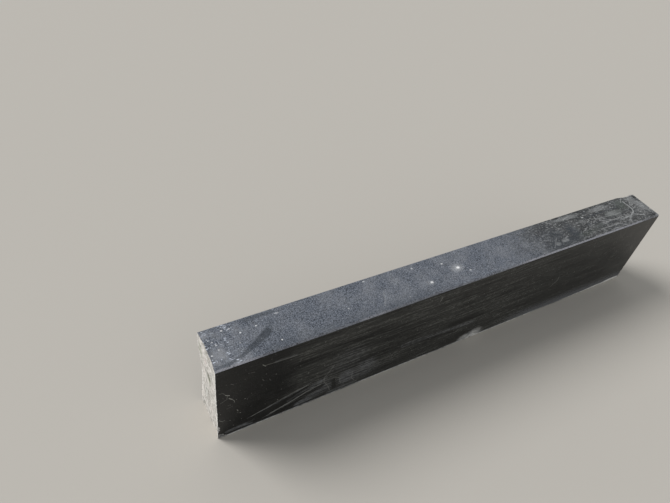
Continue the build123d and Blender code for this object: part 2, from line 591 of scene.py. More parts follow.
honed = dict(
    # The near tones are the stone's dark grey with a blue cast that is a painted reflection of the sky
    deepTone=(0.014, 0.018, 0.026),
    crystalTone=(0.190, 0.210, 0.250),
    farDeepTone=(0.006, 0.007, 0.008),
    farCrystalTone=(0.076, 0.078, 0.080),
    glintTone=(0.55, 0.58, 0.62),
    dustTone=(0.30, 0.305, 0.32),
    farDustTone=(0.325, 0.332, 0.332),
    smoothTone=(0.106, 0.114, 0.110),
    chalkTone=(0.80, 0.80, 0.80),
    # Painted highlight for the arris along the exposed face, pale lavender like a reflection of the sky, and
    # lighter than the top to make up for the shade the arris sits in
    arrisTone=(0.42, 0.42, 0.465),
    speckTone=(0.62, 0.66, 0.74),
    dampTone=(0.028, 0.034, 0.042),
    farDampTone=(0.012, 0.014, 0.016),
    lichenTone=(0.075, 0.090, 0.075),
    gloss=0.2,
    bumpStrength=0.5,
    bumpDepth=0.12,                   # millimetres
    crystalSize=2.2,
    wobble=(6.0, 1.5),                # millimetres, for loose and for steady marks
    smoothShare=0.9,
    glintShare=0.35,
    wearShare=0.3,
    wearWidth=2.4,
    speckle=dict(size=2.2, detail=1.0, shift=(2.2, 5.1, 0.3)),
    blotch=dict(size=26.0, stretch=(1.8, 1, 1), detail=5.0, rough=0.66, shift=(0.6, 2.9, 0)),
    broken=dict(size=10.0, stretch=(2.0, 1, 1), detail=4.0, rough=0.6, shift=(8.1, 0.4, 0)),
    gritty=dict(size=5.2, stretch=(1.4, 1, 1), detail=2.0, rough=0.6, shift=(1.5, 6.6, 0)),
    patchy=dict(size=5.0, stretch=(2, 1, 1), detail=4.0, rough=0.66),
    clusters=dict(size=17.0, detail=2.0, shift=(4.4, 9.1, 0)),
    dust=dict(cloudSize=44.0, amount=0.46),
    swirls=dict(turn=(0, 0, math.radians(24)), length=40.0, share=0.6),
    sweeps=dict(turn=(0, 0, math.radians(-8)), length=90.0, share=0.5),
    wisps=dict(spacing=3.6, size=1.25, share=0.8),
    specks=dict(spacing=4.2, size=0.95, share=0.75),
    darkSpecks=dict(spacing=5.4, size=1.5, share=0.8),
    roughBase=0.44,
    roughGrain=0.12,                  # what crystals, and then dust, add to it
    roughDust=0.3,
    dampGloss=0.16,                   # what damp takes off it
    farThird=(700.0, 960.0),          # X where it starts and ends
    dustyEnds=((110.0, 10.0), (1185.0, 1235.0, 0.0, 0.9)),
    grittyEnd=(105.0, 25.0),
    wispyEnd=(80.0, 40.0),
    darkSpecksFrom=(25.0, 120.0, 0.12, 0.32),
    cleanStrip=((34.0, 4.0), (75.0, 115.0), (600.0, 440.0), 0.32),    # across, from, to and how clean
    # Where along that arris the painted highlight is strong: near both ends, and less so round a middle
    paleArris=((62.0, 100.0, 1.0, 0.27), (700.0, 790.0, 0.27, 1.0)),
    rubbedArris=(345.0, (45.0, 15.0, 0.27, 0.6)),                     # its middle, and how far it reaches
    arrisFades=(1215.0, 1150.0, 0.3, 1.0),
    damp=[
        mark(4.6, 0.5, (7.4, 7.1), (35.3, 8.6), (59.2, 15.1)),
        mark(4.6, 0.66, (59.2, 15.1), (91.1, 31), flare=1.1),
        mark(9.6, 0.76, (91.1, 31), (124, 48.9), flare=0.3),
        mark(8.5, 0.42, (127, 51.9), (141.9, 75.9), tail=0.9),
        mark(4.5, 0.4, (4, 66), (6, 42), (5, 24)),
        mark(6.5, 0.5, (94.1, 90.8), (148.9, 90.8)),
        mark(2.6, 0.75, (1025.9, 67.9), (1155.5, 68.9)),
        mark(2.6, 0.5, (1073.7, 29), (1143.5, 28)),
        mark(2.4, 0.4, (1035.9, 43), (1145.5, 43)),
        mark(2.4, 0.4, (1055.8, 10.1), (1140.5, 12.1)),
    ],
    dampSpots=[
        ((958.1, 40), (28, 46), 0.95), ((926.2, 16), (60, 22), 0.9), ((881.4, 18), (42, 20), 0.8),
        ((1043.8, 84.8), (7, 6), 0.75), ((1021.9, 44), (10, 7), 0.7), ((1047.8, 29), (26, 9), 0.5),
        ((1170.4, 75.9), (26, 24), 0.62), ((1175.4, 49.9), (16, 8), 0.45), ((901.3, 47.9), (48, 26), 0.7),
        ((1200.3, 38), (14, 9), 0.35), ((1155.5, 10.1), (14, 5), 0.3),
    ],
    paleStrokes=[
        mark(2.9, 0.9, (1193, 80), (1193.5, 62), (1195, 49), (1187, 37.5), (1171, 30)),
        mark(2.8, 0.6, (1171, 30), (1150, 27), (1123, 27.5), tail=0.4),
        mark(3.4, 0.4, (1165.4, 26), (1145.5, 13.1)),
        mark(2.2, 0.5, (1142, 39.5), (1118, 34), (1068, 43)),
        mark(2.4, 0.8, (1196.5, 22.3), (1208, 18)),
        mark(2.6, 0.5, (1204, 60), (1229, 67), (1240, 62), tail=0.5),
        mark(2.0, 0.7, (1155.5, 23), (1147.5, 5.1)),
        mark(1.9, 0.8, (1181.4, 31), (1209.3, 16.1)),
        mark(2.2, 0.6, (1183.4, 79.8), (1199.3, 91.8)),
        mark(4.0, 0.4, (1201.3, 59.9), (1223.2, 87.8)),
        mark(1.8, 0.45, (1199.3, 47.9), (1241.2, 61.9)),
        mark(1.8, 0.4, (1201.3, 43), (1239.2, 31)),
        mark(1.8, 0.35, (1199.3, 39), (1231.2, 12.1)),
        mark(4.5, 0.5, (1211.3, 81.8), (1237.2, 85.8)),
        mark(2.0, 0.6, (1077.7, 34.5), (1141.5, 33)),
        mark(2.2, 0.5, (1043.8, 18), (1107.6, 18)),
        mark(2.0, 0.4, (1065.8, 6.1), (1125.6, 7.1)),
        mark(2.4, 0.4, (1039.8, 46), (1055.8, 52.9), (1145.5, 47.9)),
        mark(2.4, 0.4, (982, 28), (1008, 38)),
        mark(2.2, 0.3, (866.4, 12.1), (896.3, 38)),
        mark(3.0, 0.45, (902.3, 20), (928.2, 32)),
        mark(2.4, 0.4, (374.1, 16.1), (384.1, 32), (391.1, 49.9)),
    ],
    palePatches=[
        ((976.1, 86.8), (70, 9), 0.5), ((1095.7, 81.8), (60, 11), 0.5), ((1120.6, 55.9), (24, 9), 0.4),
        ((1223.2, 71.9), (22, 18), 0.4), ((366.1, 71.9), (26, 30), 0.2), ((1010.9, 59.9), (16, 10), 0.35),
        ((27.3, 32), (18, 16), 0.35), ((589.4, 49.9), (26, 18), 0.2), ((29.3, 77.8), (26, 14), 0.25),
        ((884, 19), (12, 9), 0.45), ((912, 22), (16, 8), 0.5), ((996, 84), (26, 7), 0.45),
        ((1234, 55), (16, 26), 0.5),
    ],
    smoothPatches=[((1127, 54), (40, 13), 0.85), ((1047, 32), (22, 8), 0.5)],
    chalk=[
        ((7.4, 36), (2.3, 2.0), 0.8), ((42.3, 83.8), (3.2, 2.4), 0.65), ((57.2, 82.8), (3.2, 2.0), 0.55),
        ((74.1, 65.9), (2.6, 2.2), 0.75), ((108, 69.9), (2.2, 2.0), 0.85), ((140.9, 20), (2.1, 2.1), 1.0),
        ((156.9, 83.8), (7.0, 2.4), 0.35), ((22.3, 55.9), (2.6, 2.4), 0.5), ((17.3, 64.9), (3.0, 1.6), 0.5),
        ((11.4, 70.9), (1.8, 1.8), 0.5), ((23.3, 44), (2.6, 2.0), 0.5), ((65.2, 44), (2.0, 2.0), 0.4),
        ((365.2, 91.8), (4.0, 3.0), 0.4), ((487.7, 84.8), (3.0, 3.0), 0.5), ((507.7, 33), (5.0, 4.0), 0.75),
        ((562.5, 71.9), (3.4, 3.0), 0.6), ((591.4, 47.9), (6.0, 4.6), 1.0), ((615.3, 31), (3.4, 3.0), 0.45),
        ((298.4, 38), (2.4, 2.4), 0.35), ((437.9, 16.1), (2.4, 2.4), 0.3), ((1023.9, 71.9), (5.0, 3.0), 0.4),
    ],
    glows=[((588, 47), (26, 17), 0.3), ((505, 33), (16, 11), 0.2), ((430, 66), (26, 18), 0.1)],
    lichen=[((1175, 74), (30, 28), 0.6), ((1000, 22), (60, 12), 0.35)],
)


def makeHoned():
    material, shader = newMaterial("honedGranite")
    place = stonePlace(shader)
    x, y = axesOf(place)[:2]
    waving, steady = (flatten(place, "top", wobble) for wobble in honed["wobble"])
    farther = fade(x, *honed["farThird"])
    grain = graniteGrain(place, crystalSize=honed["crystalSize"])
    speckle = cloud(place, **honed["speckle"])
    mixed = timesPlus(fade(grain["Grain"], 0.25, 0.75), 0.38, times(fade(speckle, 0.44, 0.56), 0.62))
    deep = blendTone(farther, honed["deepTone"], honed["farDeepTone"])
    crystal = blendTone(farther, honed["crystalTone"], honed["farCrystalTone"])
    tone = blendTone(mixed, deep, crystal)

    # Dust, thickest near both ends, and the darker mottling of the far third
    blotch, broken, gritty = (cloud(place, **honed[name]) for name in ("blotch", "broken", "gritty"))
    mottled = strongest(fade(blotch, 0.53, 0.45, 0.0, 0.92), fade(gritty, 0.48, 0.39, 0.0, 0.75))
    tone = blendTone(times(mottled, farther), tone, honed["farDampTone"])
    dusty = blendTone(farther, honed["dustTone"], honed["farDustTone"])
    powder = strongest(fade(broken, 0.54, 0.68, 0.0, 0.5), fade(gritty, 0.55, 0.66, 0.0, 0.6))
    tone = blendTone(times(farther, powder), tone, dusty)
    film = dustFilm(place, **honed["dust"])
    ends = strongest(*(fade(x, *limits) for limits in honed["dustyEnds"]))
    film = times(film, timesPlus(ends, 0.42, fade(farther, 0.0, 1.0, 0.24, 0.06)))
    tone = blendTone(film, tone, dusty)

    # Damp and bare patches, lichen, and pale rubs
    patchy = cloud(place, **honed["patchy"])
    darker = strongest(drawMarks(steady, "top", honed["damp"]), drawSpots(waving, "top", honed["dampSpots"]))
    darker = times(darker, fade(patchy, 0.25, 0.6, 0.82, 1.0))
    tone = blendTone(darker, tone, honed["dampTone"])
    green = times(drawSpots(waving, "top", honed["lichen"]), fade(patchy, 0.3, 0.7, 0.4, 1.0))
    tone = blendTone(green, tone, honed["lichenTone"])
    smooth = drawSpots(waving, "top", honed["smoothPatches"], core=0.6)
    tone = blendTone(times(smooth, honed["smoothShare"]), tone, honed["smoothTone"])
    paler = strongest(drawMarks(steady, "top", honed["paleStrokes"]),
                      drawSpots(waving, "top", honed["palePatches"]))
    tone = blendTone(times(paler, fade(patchy, 0.32, 0.62, 0.5, 1.0)), tone, dusty)

    # Specks of grit and chalk, and fine scratches
    specks = strewnSpecks(place, **honed["specks"])
    clusters = fade(cloud(place, **honed["clusters"]), 0.42, 0.6)
    density = timesPlus(fade(x, *honed["grittyEnd"]), 0.5, 0.14)
    clean = inverse(darker)
    strewn = times(specks, timesPlus(clusters, density, 0.12), clean)
    streaky = vectorCalc("MULTIPLY", steady, (0.45, 1.0, 1.0))
    wisps = strewnSpecks(streaky, **honed["wisps"])
    strewn = strongest(strewn, times(wisps, fade(x, *honed["wispyEnd"]), clusters, 0.9))
    aside = vectorCalc("ADD", place, (31, 17, 5))
    darkSpecks = strewnSpecks(aside, **honed["darkSpecks"])
    specked = times(darkSpecks, clean, fade(x, *honed["darkSpecksFrom"]))
    tone = blendTone(specked, tone, honed["dampTone"])
    glow = times(drawSpots(steady, "top", honed["glows"], core=0.0), fade(speckle, 0.35, 0.65, 0.5, 1.0))
    tone = blendTone(glow, tone, honed["chalkTone"])
    tone = blendTone(strewn, tone, honed["speckTone"])
    chalk = drawSpots(steady, "top", honed["chalk"], core=0.4)
    swirls, sweeps = (fineScratches(place, **honed[name]) for name in ("swirls", "sweeps"))
    hairs = times(strongest(swirls, sweeps), timesPlus(farther, 0.16, 0.06))
    tone = blendTone(strongest(chalk, hairs), tone, honed["chalkTone"])
    wear = edgeWear(place, stone=stoneInMm, width=honed["wearWidth"])
    tone = blendTone(times(wear, honed["wearShare"]), tone, dusty)
    tone = blendTone(times(grain["Glint"], honed["glintShare"]), tone, honed["glintTone"])

    # The top is cleaner along the exposed face, and the ground arris there gets a painted highlight, pale
    # lavender like a reflection of the sky and strongest near both ends
    across, first, last, cleanness = honed["cleanStrip"]
    cleaner = times(fade(y, *across), fade(x, *first), fade(x, *last), cleanness)
    tone = blendTone(cleaner, tone, honed["dampTone"])
    middle, reach = honed["rubbedArris"]
    midway = calc("ABSOLUTE", calc("SUBTRACT", x, middle))
    along = strongest(*(fade(x, *limits) for limits in honed["paleArris"]), fade(midway, *reach))
    arris = times(fade(y, shape["topArris"] + 0.2, shape["topArris"] - 0.2), along,
                  fade(x, *honed["arrisFades"]), fade(speckle, 0.38, 0.6, 0.55, 1.15))
    tone = blendTone(arris, tone, honed["arrisTone"])

    rough = timesPlus(grain["Grain"], honed["roughGrain"], honed["roughBase"])
    rough = calc("SUBTRACT", rough, times(darker, honed["dampGloss"]))
    rough = timesPlus(strongest(film, chalk, strewn), honed["roughDust"], rough)
    finishSurface(shader, honed, tone, rough, mixed)
    return material


# Sawn granite: the square end and the bed

sawn = dict(
    deepTone=(0.038, 0.040, 0.043),
    crystalTone=(0.105, 0.110, 0.116),
    slurryTone=(0.27, 0.265, 0.25),
    sparkleTone=(0.5, 0.52, 0.55),
    gloss=0.4,
    bumpStrength=0.6,
    bumpDepth=0.3,                    # millimetres
    crystalSize=1.5,
    roughBase=0.6,
    roughDust=0.2,
    lineShare=0.16,
    speckShare=0.35,
    glintShare=0.3,
    wearShare=0.5,
    wearWidth=3.2,
    blade=dict(hub=(0, 420, 620), pitch=3.6),      # where its middle was, and between its rings
    dust=dict(cloudSize=55.0, amount=0.55),
    specks=dict(spacing=8.0, size=1.4, share=0.6),
)


def makeSawn():
    material, shader = newMaterial("sawnGranite")
    place = stonePlace(shader)
    grain = graniteGrain(place, crystalSize=sawn["crystalSize"])
    lines = sawLines(place, **sawn["blade"])
    tone = blendTone(grain["Grain"], sawn["deepTone"], sawn["crystalTone"])
    film = dustFilm(place, **sawn["dust"])
    tone = blendTone(times(film, fade(lines, 0.1, 0.8, 0.6, 0.22)), tone, sawn["slurryTone"])
    tone = blendTone(times(lines, sawn["lineShare"]), tone, sawn["slurryTone"])
    wear = edgeWear(place, stone=stoneInMm, width=sawn["wearWidth"])
    tone = blendTone(times(wear, sawn["wearShare"]), tone, sawn["slurryTone"])
    specks = times(strewnSpecks(place, **sawn["specks"]), sawn["speckShare"])
    sparkle = strongest(specks, times(grain["Glint"], sawn["glintShare"]))
    tone = blendTone(sparkle, tone, sawn["sparkleTone"])
    rough = timesPlus(film, sawn["roughDust"], sawn["roughBase"])
    finishSurface(shader, sawn, tone, rough, timesPlus(grain["Grain"], 0.35, times(lines, 0.65)))
    return material


# The split end's pale crust. Marks are Y and Z in millimetres

crust = dict(
    paleTone=(0.88, 0.845, 0.80),
    dullTone=(0.43, 0.41, 0.375),
    rimTone=(0.90, 0.88, 0.85),
    greenTone=(0.38, 0.41, 0.30),
    blueTone=(0.48, 0.54, 0.50),
    pinkTone=(0.68, 0.55, 0.52),
    warmTone=(0.72, 0.60, 0.46),
    speckTone=(0.13, 0.13, 0.11),
    # Painted shade for the groove's notch
    grooveTone=(0.120, 0.125, 0.092),
    gloss=0.3,
    bumpStrength=0.6,
    bumpDepth=0.6,                    # millimetres
    crystalSize=1.8,
    wobble=(14.0, 2.0),               # millimetres, for the stains and for the groove's painted shade
    roughBase=0.78,
    roughFine=0.15,
    speckShare=0.45,
    rims=((9.0, 3.0), (92.0, 97.0, 0.0, 0.7)),     # Y where each starts and ends
    blotches=dict(size=22.0, rough=0.55),
    fine=dict(size=5.0, stretch=(1, 1, 1.6), detail=5.0, rough=0.68),
    thin=dict(size=11.0, stretch=(1, 1, 1.8), detail=4.0, rough=0.65, shift=(0, 1.2, 9.4)),
    specks=dict(spacing=7.0, size=1.3, share=0.5),
    greenSpots=[((40, 168), (18, 22), 0.75), ((86, 207), (16, 38), 0.5), ((30, 122), (14, 20), 0.3)],
    blueSpots=[((68, 88), (13, 28), 0.5), ((22, 202), (12, 20), 0.3)],
    pinkSpots=[((60, 205), (9, 16), 0.55), ((40, 62), (14, 22), 0.3), ((78, 142), (12, 24), 0.3)],
    warmSpots=[((99, 42), (9, 26), 0.6), ((12, 20), (14, 16), 0.4)],
    # Painted shade along the groove's notch, where it shows
    groove=[
        mark(4.4, 0.95, (53, 175), (47, 172.5), flare=0.15),
        mark(5.0, 0.95, (47, 172.5), (39, 172)),
        mark(5.0, 0.9, (39, 172), (27, 174), flare=-0.3, tail=0.6),
    ],
)


def makeCrust():
    material, shader = newMaterial("splitGranite")
    place = stonePlace(shader)
    spot = flatten(place, "end", crust["wobble"][0])
    blotches, fine = cloud(place, **crust["blotches"]), cloud(place, **crust["fine"])
    share = timesPlus(fade(blotches, 0.38, 0.58), 0.5, times(fade(fine, 0.38, 0.6), 0.5))
    tone = blendTone(share, crust["dullTone"], crust["paleTone"])
    for name in ("green", "blue", "pink", "warm"):
        broken = fade(fine, 0.32, 0.6, 0.6, 1.0)
        stain = times(drawSpots(spot, "end", crust[name + "Spots"], core=0.05), broken)
        tone = blendTone(stain, tone, crust[name + "Tone"])
    grain = graniteGrain(place, crystalSize=crust["crystalSize"])
    thin = cloud(place, **crust["thin"])
    showing = times(fade(grain["Grain"], 0.42, 0.22), fade(thin, 0.46, 0.64, 0.10, 0.85))
    specks = strewnSpecks(place, **crust["specks"])
    tone = blendTone(strongest(showing, times(specks, crust["speckShare"])), tone, crust["speckTone"])
    # The groove's notch is darkened with painted shade
    groove = drawMarks(flatten(place, "end", crust["wobble"][1]), "end", crust["groove"])
    tone = blendTone(times(groove, fade(fine, 0.3, 0.6, 0.5, 1.0)), tone, crust["grooveTone"])
    across = axesOf(spot)[1]
    rims = strongest(*(fade(across, *limits) for limits in crust["rims"]))
    tone = blendTone(times(rims, fade(fine, 0.34, 0.6, 0.25, 0.9)), tone, crust["rimTone"])
    height = timesPlus(fine, 0.7, times(grain["Grain"], 0.3))
    finishSurface(shader, crust, tone, timesPlus(fine, crust["roughFine"], crust["roughBase"]), height)
    return material


# Chips and nicks, where the bruised crystals turn pale. Spots are X, Y and Z in millimetres

bruise = dict(
    deepTone=(0.028, 0.029, 0.032),
    midTone=(0.17, 0.172, 0.18),
    paleTone=(0.55, 0.54, 0.52),
    toeTone=(0.93, 0.91, 0.87),
    gloss=0.4,
    bumpStrength=0.6,
    bumpDepth=0.4,                    # millimetres
    crystalSize=1.2,
    roughBase=0.6,
    roughGrain=0.15,
    bedDust=(9.0, 1.5, 0.0, 0.45),    # Z where it starts and ends, and the share at each
    patches=dict(size=5.0, detail=4.0, rough=0.6),
    paleSpots=[
        ((1232, 0, -1), (60, 12, 5), 0.95), ((0, 0, 42), (12, 12, 32), 0.95),
        ((1232, 100, 250), (62, 15, 15), 0.55), ((0, 6, 6), (14, 14, 12), 0.4),
    ],
    toeSpots=[((1236, 0, 2), (46, 14, 10), 1.0)],
    footLip=dict(reach=17.2, width=1.5, strength=0.6),      # reach is from the flake's middle
)


def makeChipped():
    material, shader = newMaterial("chippedGranite")
    place = stonePlace(shader)
    height = axesOf(place)[2]
    grain = graniteGrain(place, crystalSize=bruise["crystalSize"])
    patches = fade(cloud(place, **bruise["patches"]), 0.3, 0.7)
    share = timesPlus(grain["Grain"], 0.5, times(patches, 0.5))
    tone = blendTone(share, bruise["deepTone"], bruise["midTone"])
    lip, foot = bruise["footLip"], next(chip for chip in shape["chips"] if chip["name"] == "foot")
    spots = drawSpots(place, "any", bruise["paleSpots"], core=0.4)
    away = calc("ABSOLUTE", calc("SUBTRACT", vectorCalc("DISTANCE", place, foot["spot"]), lip["reach"]))
    onLip = times(fade(away, lip["width"], 0.4), lip["strength"])
    pale = strongest(spots, onLip, fade(height, *bruise["bedDust"]))
    tone = blendTone(times(pale, fade(patches, 0.1, 0.7, 0.4, 1.0)), tone, bruise["paleTone"])
    white = drawSpots(place, "any", bruise["toeSpots"], core=0.6)
    tone = blendTone(times(white, fade(patches, 0.0, 0.6, 0.6, 1.0)), tone, bruise["toeTone"])
    finishSurface(shader, bruise, tone, timesPlus(share, bruise["roughGrain"], bruise["roughBase"]), share)
    return material


# The stone's shape. Sizes repeat the solid's, in millimetres

shape = dict(
    topArris=3.0,
    bedArris=2.0,
    overrun=6.0,                      # of the block past the split face, and of that cutter past its edges
    splitPitch=1.1,                   # between the points of the rough split face
    crestSkin=0.05,                   # the least that the split face stays inside the outline
    crestSoft=0.4,                    # how softly it comes to that
    rimSkip=0.5,                      # how far from the arrises the solid's face is measured
    rayStart=20.0,
    cutterReach=400.0,
    lumps=dict(depth=1.0, wide=26.0, high=44.0),
    ridges=dict(depth=1.1, wide=8.0, high=34.0, lean=90.0, sharp=0.7),
    steps=dict(depth=0.7, wide=19.0, high=55.0, lean=120.0, count=3.0),
    grain=dict(depth=0.3, wide=2.2, high=2.8),
    grooveStart=(47.0, 178.0),        # Y and Z of the short groove, which the crust darkens with painted shade
    grooveEnd=(33.0, 175.0),
    grooveWidth=3.4,
    grooveDepth=1.6,
    chipPitch=0.75,
    chipReach=0.66,                   # how far a chip's cutter goes each way, as a share of its length
    chipRipple=0.04,                  # as a share of each chip's bite
    rippleTurn=1.1,                   # radians for each millimetre from the blow
    chipLumps=(6.0, 1.7),             # sizes of its roughness
    chips=[
        dict(name="toe", length=60.0, bite=1.5, spot=(1232.0, 0.0, 0.0), out=(0, -1, -0.2),
             along=(1, 0, 0), halfWidth=38.0, rough=0.10),
        dict(name="heel", length=90.0, bite=7.0, spot=(1230.0, 100.0, 250.0), out=(0, 1, 1),
             along=(1, 0, 0), halfWidth=18.0, rough=0.14),
        dict(name="foot", length=36.0, bite=2.2, spot=(1.5, 0.0, 0.0), out=(0, -1, 0),
             along=(1, 0, 0), halfWidth=23.0, rough=0.30),
        dict(name="edge", length=32.0, bite=4.0, spot=(0.0, 0.0, 42.0), out=(-1, -1, 0),
             along=(0, 0, 1), halfWidth=13.0, rough=0.42),
    ],
)

setCamera()
setLight()
layFloor()
print("camera, light and floor set")

finishes = dict(
    honed=makeHoned(),
    polished=makePolished(),
    sawn=makeSawn(),
    crust=makeCrust(),
    chipped=makeChipped(),
)
print("finishes made")


def makeBlank():
    # The sawn block with its arrises, running on past the end that is split off
    length, width, height = stoneInMm
    top, bed = shape["topArris"], shape["bedArris"]
    outline = [(bed, 0), (width - bed, 0), (width, bed), (width, height - top),
               (width - top, height), (top, height), (0, height - top), (0, bed)]
    work = bmesh.new()
    near = [work.verts.new(fromCorner(-shape["overrun"], y, z)) for y, z in outline]
    far = [work.verts.new(fromCorner(length, y, z)) for y, z in outline]
    work.faces.new(near)
    work.faces.new(far)
    for i in range(len(outline)):
        work.faces.new((near[i - 1], near[i], far[i], far[i - 1]))
    bmesh.ops.recalc_face_normals(work, faces=work.faces)
    mesh = bpy.data.meshes.new("kerbStone")
    work.to_mesh(mesh)
    work.free()
    for name in ("honed", "polished", "sawn"):
        mesh.materials.append(finishes[name])
    return newPiece("kerbStone", mesh)


def closedCutter(name, rows, apex, material):
    # A grid of points, closed by a fan from its rim to the apex
    high, wide = len(rows), len(rows[0])
    points = [point for row in rows for point in row] + [apex]
    faces = []
    for j in range(high - 1):
        for i in range(wide - 1):
            first = j * wide + i
            faces.append((first, first + 1, first + wide + 1, first + wide))
    rim = list(range(wide))
    rim += [j * wide + wide - 1 for j in range(1, high)]
    rim += [(high - 1) * wide + i for i in range(wide - 2, -1, -1)]
    rim += [j * wide for j in range(high - 2, 0, -1)]
    for a, b in zip(rim, rim[1:] + rim[:1]):
        faces.append((b, a, len(points) - 1))
    mesh = bpy.data.meshes.new(name)
    mesh.from_pydata(points, [], faces)
    work = bmesh.new()
    work.from_mesh(mesh)
    bmesh.ops.recalc_face_normals(work, faces=work.faces)
    if work.calc_volume(signed=True) < 0:
        bmesh.ops.reverse_faces(work, faces=work.faces)
    for face in work.faces:
        face.smooth = True
    work.to_mesh(mesh)
    work.free()
    mesh.materials.append(material)
    return newPiece(name, mesh)


def grooveDepth(y, z):
    start, end = Vector(shape["grooveStart"]), Vector(shape["grooveEnd"])
    line = end - start
    here = Vector((y, z)) - start
    along = max(0.0, min(1.0, here.dot(line) / line.dot(line)))
    away = (here - line * along).length / shape["grooveWidth"]
    return shape["grooveDepth"] * math.exp(-away * away)


def splitRelief(y, z):
    # How rough the split face is at one place, in millimetres inwards
    lumps, ridges, steps, grain = (shape[name] for name in ("lumps", "ridges", "steps", "grain"))
    swell = 0.5 + 0.5 * noise.fractal(Vector((y / lumps["wide"], z / lumps["high"], 1.7)), 1.0, 2.0, 3)
    across = y / ridges["wide"] + z / ridges["lean"]
    crest = abs(noise.noise(Vector((across, z / ridges["high"], 5.2)))) ** ridges["sharp"]
    across = y / steps["wide"] - z / steps["lean"]
    slope = noise.noise(Vector((across, z / steps["high"], 8.4))) * steps["count"]
    tread = (slope - math.floor(slope)) ** 3
    crumbs = noise.fractal(Vector((y / grain["wide"], z / grain["high"], 0.4)), 0.8, 2.1, 3)
    depth = lumps["depth"] * swell + ridges["depth"] * crest
    return depth + steps["depth"] * tread + grain["depth"] * crumbs + grooveDepth(y, z)


def plainSplit():
    # How deep the solid's split face lies at one place, found by rays along the stone
    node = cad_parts["kerb_stone"]
    work = bmesh.new()
    work.from_mesh(node.data)
    work.transform(node.matrix_world)
    tree = BVHTree.FromBMesh(work)
    work.free()
    rim = shape["topArris"] + shape["rimSkip"]
    width, height = stoneInMm[1:]

    def depthAt(y, z):
        start = fromCorner(-shape["rayStart"], min(max(y, rim), width - rim), min(max(z, rim), height - rim))
        return (tree.ray_cast(start, Vector((1, 0, 0)))[0].x - stoneLow.x) / mm
    return depthAt


def makeSplitCutter(plainDepth):
    # The relief goes as far out of the plain face as into it, but never out of the outline
    over, soft = shape["overrun"], shape["crestSoft"]
    width, height = stoneInMm[1:]
    across = round((width + 2 * over) / shape["splitPitch"])
    upward = round((height + 2 * over) / shape["splitPitch"])
    places = []
    for j in range(upward + 1):
        z = -over + (height + 2 * over) * j / upward
        places.append([(-over + (width + 2 * over) * i / across, z) for i in range(across + 1)])
    reliefs = [[splitRelief(y, z) for y, z in line] for line in places]
    middle = sum(map(sum, reliefs)) / sum(map(len, reliefs))
    rows = []
    for line, relief in zip(places, reliefs):
        row = []
        for (y, z), rough in zip(line, relief):
            depth = plainDepth(y, z) + rough - middle
            if depth < soft:
                depth = shape["crestSkin"] + (soft - shape["crestSkin"]) * math.exp((depth - soft) / soft)
            row.append(fromCorner(depth, y, z))
        rows.append(row)
    apex = fromCorner(-shape["cutterReach"], width / 2, height / 2)
    return closedCutter("splitCutter", rows, apex, finishes["crust"])


def makeChipCutter(chip):
    # Part of a rough ball, with ripples that run out from where the blow fell
    radius = ((chip["length"] / 2) ** 2 / chip["bite"] + chip["bite"]) / 2
    out = Vector(chip["out"]).normalized()
    along = Vector(chip["along"])
    across = out.cross(along)
    centre = Vector(chip["spot"]) + out * (radius - chip["bite"])
    reach, spread = shape["chipReach"] * chip["length"], chip["halfWidth"]
    ripple, roughness = shape["chipRipple"] * chip["bite"], chip["rough"] * chip["bite"]
    large, small = shape["chipLumps"]
    longSteps = round(2 * reach / shape["chipPitch"])
    crossSteps = round(2 * spread / shape["chipPitch"])
    rows = []
    for j in range(longSteps + 1):
        row = []
        for i in range(crossSteps + 1):
            u = reach * (2 * j / longSteps - 1) / radius
            v = spread * (2 * i / crossSteps - 1) / radius
            way = (along * math.tan(u) + across * math.tan(v) - out).normalized()
            at = centre + way * radius
            wave = ripple * math.sin((at - Vector(chip["spot"])).length * shape["rippleTurn"])
            rough = roughness * (noise.noise(at / large) + 0.5 * noise.noise(at / small))
            row.append(stoneLow + (centre + way * (radius + wave + rough)) * mm)
        rows.append(row)
    return closedCutter(chip["name"] + "Cutter", rows, stoneLow + centre * mm, finishes["chipped"])


# Small nicks along the edges, scattered by Geometry Nodes. Sizes in millimetres

nicks = dict(
    # keep is the share of nicks that is kept, stand is how far outside the edge they sit
    top=dict(spacing=26.0, drift=1.6, keep=0.5, smallest=0.8, largest=2.2, seed=11, stand=-0.4),
    low=dict(spacing=17.0, drift=3.2, keep=0.62, smallest=2.2, largest=4.6, seed=23, stand=0.6),
    fine=dict(spacing=6.5, drift=1.2, keep=0.45, smallest=0.5, largest=1.5, seed=29, stand=0.35),
    split=dict(spacing=5.5, drift=1.2, keep=0.6, smallest=0.7, largest=2.0, seed=41, stand=0.3),
    endGap=9.0,                       # no nick closer to a corner
    rimSteps=24,                      # along each side of the split face
    rarity=2.5,                       # how much rarer the larger ones are
    stretch=(0.75, 1.25),
    bulge=0.7,
)


